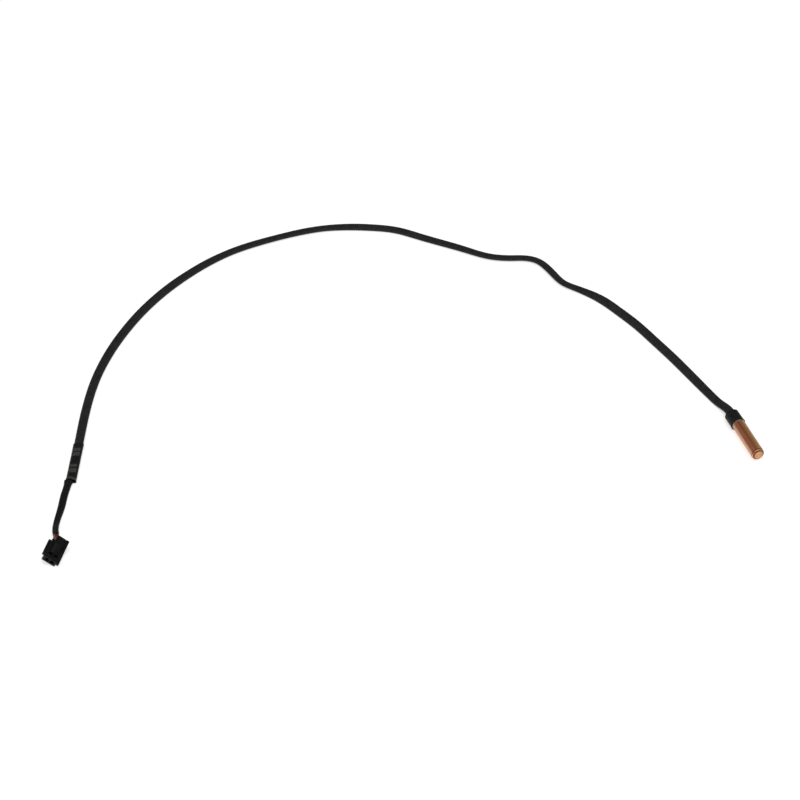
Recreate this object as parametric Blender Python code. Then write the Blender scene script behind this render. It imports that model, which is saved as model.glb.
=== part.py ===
"""Bead thermistor: a copper-cased temperature probe on a flat black lead, with a label sleeve,
a thin tail and a two-way crimp connector.

Units are metres, +Z is up and +X runs along the probe towards its closed tip. The origin lies
under the middle of the probe, on the surface that the whole sensor rests on.
"""

from math import cos, pi, radians, sin

import bmesh
import bpy
import numpy as np
from mathutils import Matrix, Vector

# Clearances
FIT_GAP = 0.00015
FACE_GAP = 0.0003

# Copper can, drawn with one closed end
CAN_DIAMETER = 0.0060
CAN_LENGTH = 0.0280
CAN_WALL = 0.0004
CAN_CORNER = 0.0011

# Shrunk collar over the mouth of the can
COLLAR_WALL = 0.00025
COLLAR_OVERLAP = 0.0060
COLLAR_REACH = 0.0024
COLLAR_REAR_DIAMETER = 0.0060
COLLAR_SHOULDER = 0.0005
COLLAR_RIM_ROUND = 0.0001

# Bead and its two legs, potted in the can
BEAD_DIAMETER = 0.0026
BEAD_LENGTH = 0.0032
BEAD_SETBACK = 0.0012
LEG_WEB = 0.0001
LEG_DIAMETER = 0.0003
LEG_END_BEFORE_BEAD_MIDDLE = 0.0005
LEG_SLEEVE_DIAMETER = 0.0009
LEG_SLEEVE_LENGTH = 0.0040
FERRULE_DIAMETER = 0.0011
FERRULE_LENGTH = 0.0030
CORE_DIAMETER = 0.0005
CORE_BARE_LENGTH = 0.0003
WIRE_DIAMETER = 0.0011
POTTING_RECESS = 0.0005

# Flat lead, tail tube and the label sleeve over their joint, which presses the ends of both flat
LEAD_WIDTH = 0.0042
LEAD_THICKNESS = 0.0020
LEAD_DEPTH_IN_COLLAR = 0.0012
LEAD_POINT_SPACING = 0.0090
TAIL_DIAMETER = 0.0030
TAIL_PRESSED_THICKNESS = 0.0019
TAIL_POINT_SPACING = 0.0040
SLEEVE_LENGTH = 0.0230
SLEEVE_WALL = 0.0002
SLEEVE_MIDDLE = (-0.0752, -0.2933)
SLEEVE_HEADING_DEG = -19.1
SLEEVE_ROLL_DEG = -8.0
OVAL_SQUARENESS = 2.3
TAIL_SIDE_OFFSET = -0.0004

# Where the lead lies between the probe and the label sleeve, as places on the surface
LEAD_ROUTE = [
    (-0.0216, -0.0006), (-0.0280, -0.0020), (-0.0345, -0.0034), (-0.0486, -0.0064), (-0.0623, -0.0094),
    (-0.0762, -0.0128), (-0.0898, -0.0163), (-0.1030, -0.0209), (-0.1159, -0.0263), (-0.1262, -0.0338),
    (-0.1313, -0.0377), (-0.1388, -0.0399), (-0.1465, -0.0415), (-0.1529, -0.0444), (-0.1566, -0.0495),
    (-0.1585, -0.0554), (-0.1635, -0.0661), (-0.1721, -0.0754), (-0.1896, -0.0942), (-0.1983, -0.1038),
    (-0.2041, -0.1149), (-0.2109, -0.1385), (-0.2104, -0.1635), (-0.2058, -0.1886), (-0.1945, -0.2128),
    (-0.1776, -0.2357), (-0.1554, -0.2562), (-0.1287, -0.2733), (-0.1086, -0.2819), (-0.0962, -0.2863),
]
LEAD_DESCENT = (0.0030, 0.0025, 0.0022)

# Where the tail lies between the label sleeve and the connector, with the height of its axis
TAIL_ROUTE = [
    (-0.0552, -0.3019, 0.0015), (-0.0484, -0.3046, 0.0015), (-0.0413, -0.3077, 0.0018),
    (-0.0370, -0.3092, 0.0023), (-0.0332, -0.3101, 0.0028), (-0.0294, -0.3105, 0.0031),
]
TAIL_WIRE_SPACING = 0.0002

# Two-way crimp connector; its wires hold it tipped over on one lower edge
HOUSING_WIDTH = 0.0062
HOUSING_LENGTH = 0.0098
HOUSING_HEIGHT = 0.0040
HOUSING_EDGE = 0.0002
HOUSING_FRONT_CHAMFER = 0.0008
HOUSING_MIDDLE = (-0.01889, -0.31353)
HOUSING_HEADING_DEG = -29.4
HOUSING_ROLL_DEG = 33.4
WAY_PITCH = 0.0025
WAY_SIZE = 0.0020
WAY_DROP = 0.00025
RAIL_DEPTH = 0.0010
RAIL_HEIGHT = 0.0012
RAIL_SHORT_SETBACK = 0.0020
WINDOW_LENGTH = 0.0015
WINDOW_WIDTH = 0.0016
WINDOW_SETBACK = 0.0013

# Latch lever above the housing, and the guard rib beside it
LATCH_WIDTH = 0.0034
LATCH_THICKNESS = 0.0006
LATCH_ROOT_LENGTH = 0.0012
LATCH_ROOT_RISE = 0.00015
LATCH_SETBACK = 0.0030
LATCH_PAD_WIDTH = 0.0040
LATCH_PAD_LENGTH = 0.0042
LATCH_PAD_RISE = 0.00164
LATCH_OVERHANG = 0.00135
LATCH_PAD_STEP = 0.0001
GUARD_GAP = 0.00012
GUARD_STEP_OUT = 0.00033
GUARD_LENGTH = 0.00435
GUARD_CORNER = 0.0004

# Crimp contacts
CONTACT_SHEET = 0.0002
CONTACT_BOX_LENGTH = 0.0043
CONTACT_RECESS = 0.0006
CONTACT_NECK_LENGTH = 0.0008
CONTACT_FLOOR_WIDTH = 0.0010
CONTACT_FLOOR_STEP = 0.00005
CORE_BARREL_LENGTH = 0.0018
CORE_BARREL_WALL = 0.00025
WIRE_BARREL_LENGTH = 0.0014
WIRE_BARREL_WALL = 0.00015
BARREL_SPACING = 0.0003

# How finely round pieces are divided
CAN_SIDES = 40
BEAD_SIDES = 20
SMALL_SIDES = 16
CORNER_STEPS = 5
OVAL_SIDES = 32
EDGE_STEPS = 2
LEAD_BEVEL_RESOLUTION = 3
THIN_BEVEL_RESOLUTION = 2
SMOOTH_BELOW_DEG = 40
MERGE_DISTANCE = 1e-7

# Sizes and places that follow from those above
CAN_INNER_CORNER = CAN_CORNER - CAN_WALL
COLLAR_BORE = CAN_DIAMETER + 2 * FIT_GAP
COLLAR_DIAMETER = COLLAR_BORE + 2 * COLLAR_WALL
PROBE_LENGTH = CAN_LENGTH + COLLAR_REACH
AXIS_HEIGHT = COLLAR_DIAMETER / 2
TIP_X = PROBE_LENGTH / 2
MOUTH_X = TIP_X - CAN_LENGTH
COLLAR_REAR_X = -PROBE_LENGTH / 2
COLLAR_RIM_X = MOUTH_X + COLLAR_OVERLAP
COLLAR_TAPER_X = MOUTH_X - FIT_GAP
BEAD_X = TIP_X - CAN_WALL - BEAD_SETBACK - BEAD_LENGTH / 2
LEG_PITCH = max(FERRULE_DIAMETER, WIRE_DIAMETER) + 2 * FIT_GAP + LEG_WEB
LEG_FRONT_X = BEAD_X - LEG_END_BEFORE_BEAD_MIDDLE
LEG_BORE = LEG_DIAMETER + 2 * FIT_GAP
LEG_SLEEVE_FRONT_X = BEAD_X - BEAD_LENGTH / 2 - FACE_GAP
LEG_SLEEVE_REAR_X = LEG_SLEEVE_FRONT_X - LEG_SLEEVE_LENGTH
CORE_BORE = CORE_DIAMETER + 2 * FIT_GAP
WIRE_BORE = WIRE_DIAMETER + 2 * FIT_GAP
FERRULE_FRONT_X = LEG_SLEEVE_REAR_X - FACE_GAP
FERRULE_REAR_X = FERRULE_FRONT_X - FERRULE_LENGTH
SPLICE_X = (FERRULE_FRONT_X + FERRULE_REAR_X) / 2
CORE_REAR_X = FERRULE_REAR_X - CORE_BARE_LENGTH
PROBE_WIRE_FRONT_X = CORE_REAR_X - FACE_GAP
LEAD_END_X = COLLAR_REAR_X + LEAD_DEPTH_IN_COLLAR
PROBE_WIRE_REAR_X = LEAD_END_X + FACE_GAP
TAIL_WIRE_PITCH = WIRE_DIAMETER + TAIL_WIRE_SPACING
SLEEVE_END_X = SLEEVE_LENGTH / 2
HOUSING_ROLL = radians(HOUSING_ROLL_DEG)
HOUSING_EDGE_Y = HOUSING_WIDTH / 2 - HOUSING_EDGE
HOUSING_EDGE_Z = HOUSING_HEIGHT / 2 - HOUSING_EDGE
HOUSING_AXIS_HEIGHT = HOUSING_EDGE_Y * sin(HOUSING_ROLL) + HOUSING_EDGE_Z * cos(HOUSING_ROLL) + HOUSING_EDGE
CONTACT_SIZE = WAY_SIZE - 2 * FIT_GAP
CONTACT_FRONT_X = HOUSING_LENGTH / 2 - CONTACT_RECESS
CONTACT_BOX_REAR_X = CONTACT_FRONT_X - CONTACT_BOX_LENGTH
CORE_BARREL_FRONT_X = CONTACT_BOX_REAR_X - CONTACT_NECK_LENGTH
CORE_BARREL_REAR_X = CORE_BARREL_FRONT_X - CORE_BARREL_LENGTH
WIRE_BARREL_FRONT_X = CORE_BARREL_REAR_X - BARREL_SPACING
WIRE_BARREL_REAR_X = WIRE_BARREL_FRONT_X - WIRE_BARREL_LENGTH
CONTACT_CORE_REAR_X = CORE_BARREL_REAR_X - CORE_BARE_LENGTH / 2
CONTACT_CORE_FRONT_X = CORE_BARREL_FRONT_X - FACE_GAP / 2
CRIMPED_WIRE_END_X = CONTACT_CORE_REAR_X - FACE_GAP


def clear_scene():
    """Removes whatever objects the file starts with."""
    for thing in list(bpy.data.objects):
        bpy.data.objects.remove(thing, do_unlink=True)


def finish(name, colour, roughness, metallic=0.0):
    """A Principled BSDF material."""
    material = bpy.data.materials.new(name)
    material.use_nodes = True
    shader = material.node_tree.nodes["Principled BSDF"]
    shader.inputs["Base Color"].default_value = (*colour, 1.0)
    shader.inputs["Roughness"].default_value = roughness
    shader.inputs["Metallic"].default_value = metallic
    return material


def add_object(name, data, material=None):
    """Puts mesh or curve data into the scene as a named object."""
    thing = bpy.data.objects.new(name, data)
    bpy.context.scene.collection.objects.link(thing)
    if material:
        data.materials.append(material)
    return thing


def mesh_from(name, bm, smooth=False):
    """Turns a bmesh into a mesh with outward faces, shaded smooth across gentle bends if asked."""
    bmesh.ops.recalc_face_normals(bm, faces=bm.faces)
    mesh = bpy.data.meshes.new(name)
    bm.to_mesh(mesh)
    bm.free()
    if smooth:
        mesh.shade_smooth()
        mesh.set_sharp_from_angle(angle=radians(SMOOTH_BELOW_DEG))
    return mesh


def turned(name, outline, material=None, ring=False, sides=SMALL_SIDES):
    """A body turned about X. The outline holds (x, radius) points; a ring's outline is closed."""
    bm = bmesh.new()
    points = [bm.verts.new((x, 0.0, radius)) for x, radius in outline]
    edges = [bm.edges.new(pair) for pair in zip(points, points[1:])]
    if ring:
        edges.append(bm.edges.new((points[-1], points[0])))
    section = points + edges
    bmesh.ops.spin(
        bm, geom=section, cent=(0, 0, 0), axis=(1, 0, 0), angle=2 * pi, steps=sides, use_merge=True
    )
    bmesh.ops.remove_doubles(bm, verts=bm.verts, dist=MERGE_DISTANCE)
    return add_object(name, mesh_from(name, bm, smooth=True), material)


def rod(name, start, end, diameter, material=None):
    """A plain round bar along X."""
    radius = diameter / 2
    return turned(name, [(start, 0.0), (start, radius), (end, radius), (end, 0.0)], material)


def pipe(name, start, end, diameter, bore, material=None):
    """A plain round tube along X."""
    outer, inner = diameter / 2, bore / 2
    outline = [(start, inner), (start, outer), (end, outer), (end, inner)]
    return turned(name, outline, material, ring=True)


def block(name, low, high, material=None, edge=0.0):
    """A box between two corners, with its edges rounded off when edge is given."""
    bm = bmesh.new()
    size = Vector(high) - Vector(low)
    middle = (Vector(high) + Vector(low)) / 2
    stretch = Matrix.Translation(middle) @ Matrix.Diagonal((*size, 1.0))
    bmesh.ops.create_cube(bm, size=1.0, matrix=stretch)
    if edge:
        bmesh.ops.bevel(
            bm, geom=bm.edges[:], offset=edge, segments=EDGE_STEPS, profile=0.5, affect="EDGES"
        )
    return add_object(name, mesh_from(name, bm), material)


def prism(name, outline, width, material=None):
    """An outline of (x, z) points stretched across Y, centred on Y zero."""
    bm = bmesh.new()
    face = bm.faces.new([bm.verts.new((x, -width / 2, z)) for x, z in outline])
    swept = bmesh.ops.extrude_face_region(bm, geom=[face])
    moved = [item for item in swept["geom"] if isinstance(item, bmesh.types.BMVert)]
    bmesh.ops.translate(bm, verts=moved, vec=(0, width, 0))
    return add_object(name, mesh_from(name, bm), material)


def flat_oval(width, thickness):
    """An outline of (y, z) points, part way from an oval to a rectangle."""
    angles = np.linspace(0.0, 2 * pi, OVAL_SIDES, endpoint=False)
    across, up = np.cos(angles), np.sin(angles)
    across = np.sign(across) * np.abs(across) ** (2 / OVAL_SQUARENESS)
    up = np.sign(up) * np.abs(up) ** (2 / OVAL_SQUARENESS)
    return [(width / 2 * y, thickness / 2 * z) for y, z in zip(across, up)]


def straight(name, start, end, outline, material, bore=None):
    """A bar along X with an outline as its section, or a tube when the bore's outline is given."""
    bm = bmesh.new()
    sections = [(start, outline), (end, outline)]
    if bore:
        sections += [(end, bore), (start, bore)]
    rings = [[bm.verts.new((x, y, z)) for y, z in points] for x, points in sections]
    for ring, following in zip(rings, rings[1:] + rings[:1] if bore else rings[1:]):
        for j, corner in enumerate(ring):
            bm.faces.new((ring[j - 1], corner, following[j], following[j - 1]))
    if not bore:
        bm.faces.new(rings[0])
        bm.faces.new(rings[1])
    return add_object(name, mesh_from(name, bm, smooth=True), material)


def combine(target, tool, operation):
    """Adds a Boolean modifier, and marks its tool as a guide that isn't part of the object."""
    modifier = target.modifiers.new(f"{operation.lower()} {tool.name}", "BOOLEAN")
    modifier.operation = operation
    modifier.solver = "EXACT"
    modifier.object = tool
    tool.hide_render = True
    tool.display_type = "WIRE"


def place(things, parent):
    """Parents objects, so that they take the parent's place and turn."""
    for thing in things:
        thing.parent = parent


def empty(name, location, rotation=(0, 0, 0)):
    """A frame that carries other objects."""
    thing = add_object(name, None)
    thing.location = location
    thing.rotation_euler = rotation
    return thing


def arc(centre, radius, start_deg, end_deg, steps=CORNER_STEPS):
    """Points on an arc in the (x, radius) plane."""
    angles = np.linspace(radians(start_deg), radians(end_deg), steps + 1)
    return [(centre[0] + radius * cos(a), centre[1] + radius * sin(a)) for a in angles]


def smooth_route(points, spacing):
    """Points about one spacing apart on the natural cubic spline through the given points."""
    knots = np.array(points, float)
    chords = np.linalg.norm(np.diff(knots, axis=0), axis=1)
    run = np.concatenate([[0.0], np.cumsum(chords)])
    count = len(knots)
    system = np.eye(count)
    bends = np.zeros_like(knots)
    for i in range(1, count - 1):
        before, after = chords[i - 1], chords[i]
        system[i, i - 1:i + 2] = before, 2 * (before + after), after
        bends[i] = 6 * ((knots[i + 1] - knots[i]) / after - (knots[i] - knots[i - 1]) / before)
    second = np.linalg.solve(system, bends)
    route = []
    for place_on_run in np.linspace(0.0, run[-1], max(2, round(run[-1] / spacing)) + 1):
        i = min(int(np.searchsorted(run, place_on_run, side="right")) - 1, count - 2)
        span = chords[i]
        left, right = run[i + 1] - place_on_run, place_on_run - run[i]
        point = second[i] * left ** 3 / (6 * span) + second[i + 1] * right ** 3 / (6 * span)
        point = point + (knots[i] / span - second[i] * span / 6) * left
        route.append(point + (knots[i + 1] / span - second[i + 1] * span / 6) * right)
    return route


def cord(name, points, diameter, bevel_resolution, material):
    """A plain round tube along the points, never lower than the surface it lies on."""
    curve = bpy.data.curves.new(name, "CURVE")
    curve.dimensions = "3D"
    curve.bevel_depth = diameter / 2
    curve.bevel_resolution = bevel_resolution
    curve.use_fill_caps = True
    spline = curve.splines.new("POLY")
    spline.points.add(len(points) - 1)
    for slot, (x, y, z) in zip(spline.points, points):
        slot.co = (x, y, max(z, diameter / 2), 1.0)
    return add_object(name, curve, material)


def make_can():
    """The drawn copper can, with a rounded closed end and an open mouth."""
    outer = CAN_DIAMETER / 2
    inner = outer - CAN_WALL
    floor_x = TIP_X - CAN_WALL
    outline = [(TIP_X, 0.0)]
    outline += arc((TIP_X - CAN_CORNER, outer - CAN_CORNER), CAN_CORNER, 0, 90)
    outline += [(MOUTH_X, outer), (MOUTH_X, inner)]
    outline += arc((floor_x - CAN_INNER_CORNER, inner - CAN_INNER_CORNER), CAN_INNER_CORNER, 90, 0)
    outline += [(floor_x, 0.0)]
    copper = finish("copper", (0.72, 0.40, 0.26), 0.28, 1.0)
    return turned("copper_can", outline, copper, sides=CAN_SIDES)


def make_collar():
    """The shrunk collar: a thin sleeve over the can that narrows and closes round the lead."""
    outer = COLLAR_DIAMETER / 2
    inner = COLLAR_BORE / 2
    rear_outer = COLLAR_REAR_DIAMETER / 2
    neck = LEAD_WIDTH / 2 + FIT_GAP
    shoulder = min(COLLAR_SHOULDER, rear_outer - neck)
    shoulder_centre = (COLLAR_REAR_X + shoulder, rear_outer - shoulder)
    outline = [(COLLAR_RIM_X - COLLAR_RIM_ROUND, outer), (COLLAR_RIM_X, outer - COLLAR_RIM_ROUND)]
    outline += [(COLLAR_RIM_X, inner), (COLLAR_TAPER_X, inner)]
    outline += arc(shoulder_centre, shoulder - COLLAR_WALL, 90, 180)
    outline += [(COLLAR_REAR_X + COLLAR_WALL, neck), (COLLAR_REAR_X, neck)]
    outline += arc(shoulder_centre, shoulder, 180, 90)
    outline.append((COLLAR_TAPER_X, outer))
    rubber = finish("collar", (0.03, 0.03, 0.033), 0.55)
    return turned("collar", outline, rubber, ring=True, sides=CAN_SIDES)


def bead_outline(allowance=0.0):
    """The bead's section, grown all round by an allowance."""
    half_length = BEAD_LENGTH / 2 + allowance
    radius = BEAD_DIAMETER / 2 + allowance
    angles = np.linspace(0.0, pi, 2 * CORNER_STEPS + 1)
    rim = [(BEAD_X + half_length * cos(a), radius * sin(a)) for a in angles[1:-1]]
    return [(BEAD_X + half_length, 0.0), *rim, (BEAD_X - half_length, 0.0)]


def leg_void_outline():
    """The room that one leg, its sleeve, its ferrule and its wire need in the potting."""
    leg = LEG_DIAMETER / 2 + FIT_GAP
    sleeve = LEG_SLEEVE_DIAMETER / 2 + FIT_GAP
    ferrule = max(FERRULE_DIAMETER, WIRE_DIAMETER) / 2 + FIT_GAP
    sleeve_front = LEG_SLEEVE_FRONT_X + FIT_GAP
    ferrule_front = FERRULE_FRONT_X + FIT_GAP
    return [
        (BEAD_X, 0.0), (BEAD_X, leg), (sleeve_front, leg), (sleeve_front, sleeve),
        (ferrule_front, sleeve), (ferrule_front, ferrule), (MOUTH_X, ferrule), (MOUTH_X, 0.0),
    ]


def make_bead():
    """The bead, with a socket for each leg."""
    glass = finish("bead", (0.10, 0.20, 0.13), 0.20)
    bead = turned("thermistor_bead", bead_outline(), glass, sides=BEAD_SIDES)
    for side, suffix in ((-1, "a"), (1, "b")):
        socket = rod(f"socket_{suffix}", LEG_SLEEVE_FRONT_X, LEG_FRONT_X + FIT_GAP, LEG_BORE)
        socket.location.y = side * LEG_PITCH / 2
        combine(bead, socket, "DIFFERENCE")
        yield socket
    yield bead


def make_legs():
    """Both legs of the bead, with their sleeves, ferrules, stripped cores and insulated wires."""
    steel = finish("leg", (0.62, 0.58, 0.52), 0.35, 1.0)
    film = finish("leg_sleeve", (0.55, 0.28, 0.06), 0.35)
    tin = finish("ferrule", (0.70, 0.70, 0.68), 0.35, 1.0)
    copper = finish("core", (0.78, 0.50, 0.36), 0.35, 1.0)
    brown = finish("probe_wire_a", (0.28, 0.13, 0.09), 0.45)
    red = finish("probe_wire_b", (0.35, 0.06, 0.07), 0.45)
    for side, suffix, insulation in ((-1, "a", brown), (1, "b", red)):
        pieces = [
            rod(f"bead_leg_{suffix}", SPLICE_X + FACE_GAP / 2, LEG_FRONT_X, LEG_DIAMETER, steel),
            pipe(f"leg_sleeve_{suffix}", LEG_SLEEVE_REAR_X, LEG_SLEEVE_FRONT_X,
                 LEG_SLEEVE_DIAMETER, LEG_BORE, film),
            pipe(f"splice_ferrule_{suffix}", FERRULE_REAR_X, FERRULE_FRONT_X,
                 FERRULE_DIAMETER, CORE_BORE, tin),
            rod(f"stripped_core_{suffix}", CORE_REAR_X, SPLICE_X - FACE_GAP / 2, CORE_DIAMETER, copper),
            rod(f"probe_wire_{suffix}", PROBE_WIRE_REAR_X, PROBE_WIRE_FRONT_X, WIRE_DIAMETER, insulation),
        ]
        for piece in pieces:
            piece.location.y = side * LEG_PITCH / 2
        yield from pieces


def make_potting():
    """The resin that fills the can, moulded round the bead and its legs."""
    radius = CAN_DIAMETER / 2 - CAN_WALL - FIT_GAP
    front = TIP_X - CAN_WALL - FIT_GAP
    rear = MOUTH_X + POTTING_RECESS
    corner = CAN_INNER_CORNER
    rounded = arc((front - corner, radius - corner), corner, 0, 90)
    outline = [(front, 0.0), *rounded, (rear, radius), (rear, 0.0)]
    potting = turned("potting", outline, finish("potting", (0.06, 0.055, 0.05), 0.5), sides=CAN_SIDES)
    bead_void = turned("bead_void", bead_outline(FIT_GAP), sides=BEAD_SIDES)
    combine(potting, bead_void, "DIFFERENCE")
    yield bead_void
    for side, suffix in ((-1, "a"), (1, "b")):
        void = turned(f"leg_void_{suffix}", leg_void_outline())
        void.location.y = side * LEG_PITCH / 2
        combine(potting, void, "DIFFERENCE")
        yield void
    yield potting


def make_probe():
    """Everything that is in or on the copper can."""
    frame = empty("probe", (0.0, 0.0, AXIS_HEIGHT))
    place([make_can(), make_collar(), *make_bead(), *make_legs(), *make_potting()], frame)


def level_sleeve_frame():
    """The place on the surface under the sleeve's middle, with X from the lead to the tail."""
    turn = Matrix.Rotation(radians(SLEEVE_HEADING_DEG), 4, "Z")
    return Matrix.Translation((*SLEEVE_MIDDLE, 0.0)) @ turn


def make_label_sleeve(lead_black, tail_black):
    """The shrunk sleeve, with the pressed ends of the lead and the tail that meet in it."""
    bore_width, bore_thickness = LEAD_WIDTH + 2 * FIT_GAP, LEAD_THICKNESS + 2 * FIT_GAP
    bore = flat_oval(bore_width, bore_thickness)
    outline = flat_oval(bore_width + 2 * SLEEVE_WALL, bore_thickness + 2 * SLEEVE_WALL)
    film = finish("label_sleeve", (0.035, 0.035, 0.037), 0.5)
    lead_section = flat_oval(LEAD_WIDTH, LEAD_THICKNESS)
    tail_section = [
        (y + TAIL_SIDE_OFFSET, z) for y, z in flat_oval(TAIL_DIAMETER, TAIL_PRESSED_THICKNESS)
    ]
    pieces = [
        straight("label_sleeve", -SLEEVE_END_X, SLEEVE_END_X, outline, film, bore),
        straight("lead_end", -SLEEVE_END_X, -FACE_GAP / 2, lead_section, lead_black),
        straight("tail_end", FACE_GAP / 2, SLEEVE_END_X, tail_section, tail_black),
    ]
    roll = Matrix.Rotation(-radians(SLEEVE_ROLL_DEG), 4, "X")
    height = -min((roll @ Vector((0.0, y, z))).z for y, z in outline)
    for piece in pieces:
        piece.matrix_world = Matrix.Translation((0, 0, height)) @ level_sleeve_frame() @ roll


def make_lead(material):
    """The lead, from inside the collar to the rear end of the label sleeve."""
    radius = LEAD_WIDTH / 2
    frame = level_sleeve_frame()
    probe_end = [(LEAD_END_X, 0.0, AXIS_HEIGHT), (COLLAR_REAR_X - radius, 0.0, AXIS_HEIGHT)]
    heights = [*LEAD_DESCENT, *[radius] * (len(LEAD_ROUTE) - len(LEAD_DESCENT))]
    lying = [(x, y, height) for (x, y), height in zip(LEAD_ROUTE, heights)]
    end = -SLEEVE_END_X - FACE_GAP
    sleeve_end = [frame @ Vector((x, 0, radius)) for x in (end - radius, end)]
    route = smooth_route([*probe_end, *lying, *sleeve_end], LEAD_POINT_SPACING)
    cord("lead", route, LEAD_WIDTH, LEAD_BEVEL_RESOLUTION, material)


def make_tail(material):
    """The thin black tail tube, from the front end of the label sleeve to just short of the connector."""
    radius = TAIL_DIAMETER / 2
    frame = level_sleeve_frame()
    start = SLEEVE_END_X + FACE_GAP
    sleeve_end = [frame @ Vector((x, TAIL_SIDE_OFFSET, radius)) for x in (start, start + radius)]
    route = smooth_route([*sleeve_end, *TAIL_ROUTE], TAIL_POINT_SPACING)
    cord("tail_tube", route, TAIL_DIAMETER, THIN_BEVEL_RESOLUTION, material)
    end, before = Vector(route[-1]), Vector(route[-2])
    return end, (end - before).normalized()


def make_rails(half):
    """The guide rails on the housing's sides: one nearly as long as it, and one set back."""
    rear = -half.x + HOUSING_EDGE
    front = half.x - HOUSING_EDGE
    low, high = -RAIL_HEIGHT / 2, RAIL_HEIGHT / 2
    root, out = half.y - 2 * HOUSING_EDGE, half.y + RAIL_DEPTH
    yield block("long_rail", (rear, root, low), (front, out, high))
    yield block("short_rail", (rear, -out, low), (half.x - RAIL_SHORT_SETBACK, -root, high))


def make_latch(half):
    """The latch lever: a root behind the windows, a springy arm that rises rearwards, and a wide pad."""
    root_front = half.x - LATCH_SETBACK
    root_rear = root_front - LATCH_ROOT_LENGTH
    sunk = half.z - HOUSING_EDGE
    level = half.z + LATCH_ROOT_RISE
    top = half.z + LATCH_PAD_RISE
    low = top - LATCH_THICKNESS
    pad_rear = -half.x - LATCH_OVERHANG
    pad_front = pad_rear + LATCH_PAD_LENGTH
    arm_top, arm_low = top - LATCH_PAD_STEP, low + LATCH_PAD_STEP
    arm_rear = pad_front - LATCH_THICKNESS
    arm = [
        (root_front, sunk), (root_front, level), (pad_front, arm_top), (arm_rear, arm_top),
        (arm_rear, arm_low), (pad_front, arm_low), (root_rear, level), (root_rear, sunk),
    ]
    yield prism("latch_arm", arm, LATCH_WIDTH)
    wide = LATCH_PAD_WIDTH / 2
    yield block("latch_pad", (pad_rear, -wide, low), (pad_front, wide, top))


def make_guard(half):
    """The rib that guards the latch pad on the long rail's side, and reaches back as far as it."""
    inner = LATCH_PAD_WIDTH / 2 + GUARD_GAP
    outer = half.y + GUARD_STEP_OUT
    top = half.z + LATCH_PAD_RISE
    rear = -half.x - LATCH_OVERHANG
    front = rear + GUARD_LENGTH
    outline = [
        (front, 0.0), (front, top - GUARD_CORNER), (front - GUARD_CORNER, top), (rear, top),
        (rear, half.z), (-half.x + GUARD_CORNER, 0.0),
    ]
    guard = prism("guard_rib", outline, outer - inner)
    guard.location.y = (inner + outer) / 2
    return guard


def make_housing(frame):
    """The moulded housing: two ways, guide rails, lance windows, a latch lever and its guard rib."""
    half = Vector((HOUSING_LENGTH, HOUSING_WIDTH, HOUSING_HEIGHT)) / 2
    plastic = finish("connector_housing", (0.025, 0.025, 0.027), 0.45)
    housing = block("connector_housing", -half, half, plastic, edge=HOUSING_EDGE)
    added = [*make_rails(half), *make_latch(half), make_guard(half)]

    past = HOUSING_EDGE
    front, top = half.x + past, half.z + past
    leg = HOUSING_FRONT_CHAMFER + 2 * past
    corner = [(front - leg, top), (front, top), (front, top - leg)]
    cut = [prism("front_chamfer", corner, HOUSING_WIDTH + 2 * past)]
    way = WAY_SIZE / 2
    window = WINDOW_WIDTH / 2
    window_front = half.x - WINDOW_SETBACK
    for side, suffix in ((-1, "a"), (1, "b")):
        y = side * WAY_PITCH / 2
        way_low = (-HOUSING_LENGTH, y - way, -WAY_DROP - way)
        way_high = (HOUSING_LENGTH, y + way, -WAY_DROP + way)
        window_low = (window_front - WINDOW_LENGTH, y - window, -WAY_DROP)
        window_high = (window_front, y + window, half.z + past)
        cut.append(block(f"way_{suffix}", way_low, way_high))
        cut.append(block(f"window_{suffix}", window_low, window_high))
    for tool in added:
        combine(housing, tool, "UNION")
    for tool in cut:
        combine(housing, tool, "DIFFERENCE")
    place([housing, *added, *cut], frame)


def make_contact(frame, side, suffix):
    """One crimp contact: a box, a neck on its floor, and barrels round the core and the wire."""
    half = CONTACT_SIZE / 2
    sheet = CONTACT_SHEET
    inner = half - sheet
    floor_low = -half + CONTACT_FLOOR_STEP
    brass = finish(f"contact_{suffix}", (0.80, 0.66, 0.42), 0.30, 1.0)
    copper = finish(f"contact_core_{suffix}", (0.78, 0.50, 0.36), 0.35, 1.0)
    box_low, box_high = (CONTACT_BOX_REAR_X, -half, -half), (CONTACT_FRONT_X, half, half)
    box = block(f"contact_{suffix}", box_low, box_high, brass)
    hollow = block(f"contact_hollow_{suffix}", (CONTACT_BOX_REAR_X - sheet, -inner, -inner),
                   (CONTACT_FRONT_X + sheet, inner, inner))
    floor = block(f"contact_floor_{suffix}", (WIRE_BARREL_REAR_X, -CONTACT_FLOOR_WIDTH / 2, floor_low),
                  (CONTACT_BOX_REAR_X + sheet, CONTACT_FLOOR_WIDTH / 2, floor_low + sheet))
    core_barrel = pipe(f"core_barrel_{suffix}", CORE_BARREL_REAR_X, CORE_BARREL_FRONT_X,
                       CORE_BORE + 2 * CORE_BARREL_WALL, CORE_BORE)
    wire_barrel = pipe(f"wire_barrel_{suffix}", WIRE_BARREL_REAR_X - FIT_GAP, WIRE_BARREL_FRONT_X,
                       WIRE_BORE + 2 * WIRE_BARREL_WALL, WIRE_BORE)
    combine(box, hollow, "DIFFERENCE")
    for tool in (floor, core_barrel, wire_barrel):
        combine(box, tool, "UNION")
    core = rod(f"contact_core_{suffix}", CONTACT_CORE_REAR_X, CONTACT_CORE_FRONT_X, CORE_DIAMETER, copper)
    pieces = [box, hollow, floor, core_barrel, wire_barrel, core]
    for piece in pieces:
        piece.location.y = side * WAY_PITCH / 2
        piece.location.z = -WAY_DROP
    place(pieces, frame)


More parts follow.
